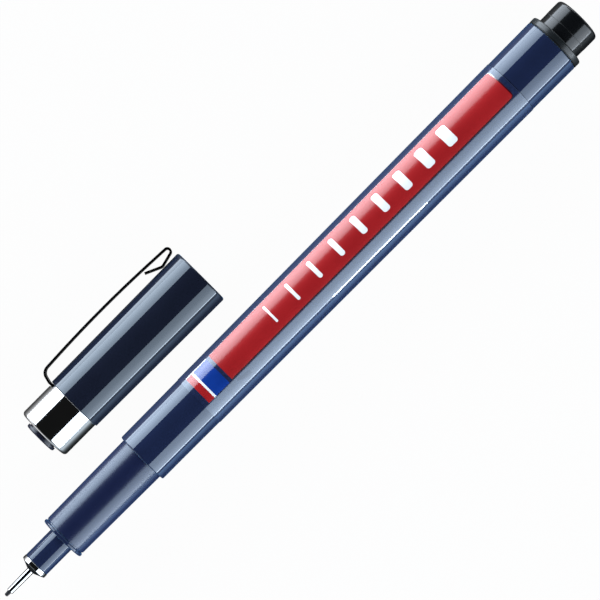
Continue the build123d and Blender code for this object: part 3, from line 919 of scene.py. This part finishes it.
def floor_material(stage):
    """Pale floor, lifted to white apart from what a piece mirrors of it close by, which shows painted contact shade.
    """
    material, tree, shader = start_material("studio_floor", ior=1.25)
    shader.inputs["Roughness"].default_value = 0.3
    paint(tree, shader, clouded(tree, stage.floor, FLOOR_GRAIN, 1.0, 1.02, 0.3))
    away = add_node(tree, "ShaderNodeVectorMath", {0: object_coordinates(tree)}, operation="LENGTH")
    path = add_node(tree, "ShaderNodeLightPath").outputs
    lift = calc(tree, "MAXIMUM", ramp(tree, away.outputs["Value"], *FAR_OFF), stage.floor_lift)
    direct = calc(tree, "MULTIPLY", path["Is Camera Ray"], lift)
    mirrored = calc(tree, "MAXIMUM", path["Is Glossy Ray"], path["Is Transmission Ray"])
    far_side = ramp(tree, split(tree, object_coordinates(tree))["Y"], *FAR_SIDE)
    white = calc(tree, "MAXIMUM", path["Is Camera Ray"], far_side)
    # Painted shade: mirrored rays that travel only a short way see the floor darkened as contact shade, dimmer and
    # bluer on the near side
    close = ramp(tree, path["Ray Length"], *FAR_CLOSE, stage.contact, 1.0)
    dim = ramp(tree, path["Ray Length"], *NEAR_CLOSE, NEAR_CONTACT * stage.contact, stage.near_floor)
    strength = ramp(tree, white, 0.0, 1.0, dim, close)
    tint = blend_colours(tree, white, rgba(NEAR_FLOOR_TINT), rgba(WHITE))
    glow = add_node(tree, "ShaderNodeEmission", {"Strength": strength, "Color": tint}).outputs["Emission"]
    lifted = calc(tree, "MAXIMUM", direct, mirrored)
    both = add_node(tree, "ShaderNodeMixShader", {"Fac": lifted, 1: shader.outputs["BSDF"], 2: glow})
    tree.links.new(both.outputs["Shader"], tree.nodes["Material Output"].inputs["Surface"])
    return material


def place_floor(stage):
    """A wide round floor under the pen and the cap."""
    mesh = bmesh.new()
    bmesh.ops.create_circle(mesh, cap_ends=True, segments=FLOOR_SEGMENTS, radius=FLOOR_RADIUS)
    floor = place_mesh("floor", mesh, floor_material(stage))
    return floor


def studio_world(stage):
    """Dark overhead with pale walls beside the pen and dim ones at its ends."""
    world = bpy.data.worlds.new("studio")
    world.use_nodes = True
    tree = world.node_tree
    place = split(tree, add_node(tree, "ShaderNodeTexCoord").outputs["Generated"])
    sideways = ramp(tree, calc(tree, "ABSOLUTE", place["X"]), *WALL_SIDE, stage.horizon, stage.ends)
    walls = ramp(tree, place["Z"], *WALL_TOP, sideways, OVERHEAD)
    tree.links.new(walls, tree.nodes["Background"].inputs["Strength"])
    tree.nodes["Background"].inputs["Color"].default_value = rgba(WHITE)
    return world


def place_camera(scene, stage):
    """The camera nearly overhead, turned so that the pen runs from corner to corner."""
    axis = node_span("barrel")[3]
    aim = axis + Vector((stage.aim_x, stage.aim_y, 0.0))
    stand = Vector((stage.camera_x, aim.y, axis.z + stage.camera_height))
    sight = (aim - stand).normalized()
    right = Vector((math.cos(stage.view_turn), -math.sin(stage.view_turn), 0.0))
    right = (right - sight * right.dot(sight)).normalized()
    lens = bpy.data.cameras.new("camera")
    lens.sensor_width = SENSOR_WIDTH
    lens.lens = lens.sensor_width * stage.camera_height / stage.frame_width
    camera = bpy.data.objects.new("camera", lens)
    scene.collection.objects.link(camera)
    camera.matrix_world = axes_at(stand, right, right.cross(sight), -sight)
    scene.camera = camera


# Operators


class FINELINER_OT_nib(bpy.types.Operator):
    """Finish the fibre nib, its steel tube and the plated collar on the nose"""

    bl_idname = "fineliner.nib"
    bl_label = "Nib, Tube and Collar"

    def execute(self, context):
        colours, seams = context.scene.fineliner_colours, context.scene.fineliner_seams
        dress(fibrous("nib_fibre_look", colours.nib, 2.2, 0.55, 12 * UM), "nib")
        dress(polished("nib_tube_look", colours.steel, "barrel", 0.05, 0.01, 0.02 * UM), "nib_tube")
        collar = polished("nib_collar_look", colours.plating, "barrel", 0.04, 0.02, 0.3 * UM)
        dress(zone(collar, "barrel", 0.0, seams.cone, CONE_TINT, 0.25), "nib_collar")
        return {"FINISHED"}


class FINELINER_OT_barrel(bpy.types.Operator):
    """Finish the nose, the grip, the barrel and the end plug"""

    bl_idname = "fineliner.barrel"
    bl_label = "Nose, Grip, Barrel and End Plug"

    def execute(self, context):
        colours, seams = context.scene.fineliner_colours, context.scene.fineliner_seams
        joint = seams.joint
        rear = node_span("barrel")[1] - node_span("nib")[0]
        blue = {"gloss": BLUE_GLOSS, "edge": 0.5}
        dress(moulded("nose_look", colours.barrel, 0.06, 0.02, 0.03, 0.6 * UM, ior=1.42, **blue), "front_section")
        dress(moulded("grip_look", colours.grip, 0.25, 0.05, 0.04, 2 * UM, ior=1.46, **blue), "grip_sleeve")
        barrel = moulded("barrel_look", colours.barrel, 0.035, 0.015, 0.025, 0.4 * UM, **blue)
        # Where a facet of the thin film sinks below the barrel, the barrel shines like the film
        zone(barrel, "barrel", *print_bounds("label_film")[:2], roughness=FILM_ROUGHNESS, coat=0.35)
        # Painted shade: a dull black line at the barrel's rear end stands in for the shade in the gap before the plug
        dress(painted_joint_shade(barrel, "barrel", rear, 0.6 * joint, joint), "barrel")
        plug = moulded("end_plug_look", colours.plug, 0.14, 0.03, 0.04, 1 * UM, ior=1.38)
        # Painted shade: a black line at the step on the rear post
        zone(plug, "barrel", *band(seams.bead, 0.6 * joint), STEP_SHADE_TINT, 0.7)
        zone(plug, "barrel", rear, rear + seams.flange, FLANGE_TINT, 0.42)
        # Painted shade: a dull black line at the plug's front stands in for the shade in the same gap
        dress(painted_joint_shade(plug, "barrel", rear, joint, 1.4 * joint), "end_plug")
        return {"FINISHED"}


class FINELINER_OT_label(bpy.types.Operator):
    """Print the label: film, block and panel"""

    bl_idname = "fineliner.label"
    bl_label = "Label"

    def execute(self, context):
        colours, label = context.scene.fineliner_colours, context.scene.fineliner_label
        dress(film_material(colours, label), "label_film")
        dress(panel_material(colours, label), "label_panel")
        dress(block_material(colours, label), "label_block")
        return {"FINISHED"}


class FINELINER_OT_ink(bpy.types.Operator):
    """Finish the ink store, its wrap and the wick inside the barrel"""

    bl_idname = "fineliner.ink"
    bl_label = "Ink Store"

    def execute(self, context):
        colours = context.scene.fineliner_colours
        dress(fibrous("ink_fibre_look", colours.ink, 1.8, 0.7, 30 * UM), "feed_wick", "ink_reservoir")
        dress(moulded("store_wrap_look", colours.wrap, 0.3, 0.08, 0.1, 2 * UM), "reservoir_wrap")
        return {"FINISHED"}


class FINELINER_OT_cap(bpy.types.Operator):
    """Finish the cap, its plated collar, its end plug and the inner cap"""

    bl_idname = "fineliner.cap"
    bl_label = "Cap"

    def execute(self, context):
        colours, joint = context.scene.fineliner_colours, context.scene.fineliner_seams.joint
        closed_end = node_span("cap_end_plug")[0]
        seat = node_span("cap_collar")[1] - closed_end
        mouth = node_span("cap_body")[1] - closed_end
        cap = moulded("cap_look", colours.cap, 0.035, 0.015, 0.025, 0.4 * UM, gloss=BLUE_GLOSS, edge=0.3)
        # Painted shade: dark lines at the collar's seat and at the mouth's edge stand in for the shade there
        painted_joint_shade(cap, "cap_body", seat, joint, 0.7 * joint, dull=False)
        dress(painted_joint_shade(cap, "cap_body", mouth, joint, joint), "cap_body")
        dress(polished("cap_collar_look", colours.plating, "cap_body", 0.045, 0.03, 0.3 * UM), "cap_collar")
        dress(moulded("cap_plug_look", colours.cap_plug, 0.3, 0.05, 0.05, 1 * UM, ior=1.4), "cap_end_plug")
        dress(moulded("inner_cap_look", colours.inner, 0.4, 0.08, 0.05, 3 * UM), "inner_cap")
        return {"FINISHED"}


class FINELINER_OT_clip(bpy.types.Operator):
    """Bend the clip out of one plated strip"""

    bl_idname = "fineliner.clip"
    bl_label = "Clip"

    def execute(self, context):
        colours, sizes = context.scene.fineliner_colours, context.scene.fineliner_clip
        finish_piece("clip_strip", clip_mesh(sizes), clip_material(colours), "clip", "plated_metal", "clip")
        return {"FINISHED"}


class FINELINER_OT_stage(bpy.types.Operator):
    """Set up the floor, the lamps and the camera"""

    bl_idname = "fineliner.stage"
    bl_label = "Stage"

    def execute(self, context):
        scene, stage = context.scene, context.scene.fineliner_stage
        scene.view_settings.view_transform = "Standard"
        floor = place_floor(stage)
        scene.world = studio_world(stage)
        # The pen and its cap are lit as if each lay alone, so neither shades the other or is mirrored in it
        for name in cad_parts:
            bpy.data.objects[name].visible_glossy = False
        pieces = [item for item in scene.objects if item.type == "MESH" and item is not floor]
        cap = [item for item in pieces if sum(corner[1] for corner in item.bound_box) > 0]
        pen = [item for item in pieces if item not in cap]
        place_lamps(stage, pen, cap, floor)
        place_camera(scene, stage)
        return {"FINISHED"}


PIECES = (
    FINELINER_OT_nib,
    FINELINER_OT_barrel,
    FINELINER_OT_label,
    FINELINER_OT_ink,
    FINELINER_OT_cap,
    FINELINER_OT_clip,
    FINELINER_OT_stage,
)


class FINELINER_PT_panel(bpy.types.Panel):
    """Sidebar panel with the pen's steps and settings"""

    bl_idname = "FINELINER_PT_panel"
    bl_label = "Fineliner Pen"
    bl_space_type = "VIEW_3D"
    bl_region_type = "UI"
    bl_category = "Fineliner"

    def draw(self, context):
        for piece in PIECES:
            self.layout.operator(piece.bl_idname)
        for group in (context.scene.fineliner_colours, context.scene.fineliner_label):
            box = self.layout.box()
            for name in group.__annotations__:
                box.prop(group, name)


SETTINGS = {
    "fineliner_colours": FinelinerColours,
    "fineliner_label": FinelinerLabel,
    "fineliner_seams": FinelinerSeams,
    "fineliner_clip": FinelinerClip,
    "fineliner_stage": FinelinerStage,
}
CLASSES = (*SETTINGS.values(), *PIECES, FINELINER_PT_panel)


def register():
    for item in CLASSES:
        bpy.utils.register_class(item)
    for name, group in SETTINGS.items():
        setattr(bpy.types.Scene, name, PointerProperty(type=group))


def unregister():
    for name in reversed(SETTINGS):
        delattr(bpy.types.Scene, name)
    for item in reversed(CLASSES):
        bpy.utils.unregister_class(item)


def main():
    register()
    bpy.ops.fineliner.nib()
    bpy.ops.fineliner.barrel()
    bpy.ops.fineliner.label()
    bpy.ops.fineliner.ink()
    bpy.ops.fineliner.cap()
    bpy.ops.fineliner.clip()
    bpy.ops.fineliner.stage()


if __name__ == "__main__":
    main()
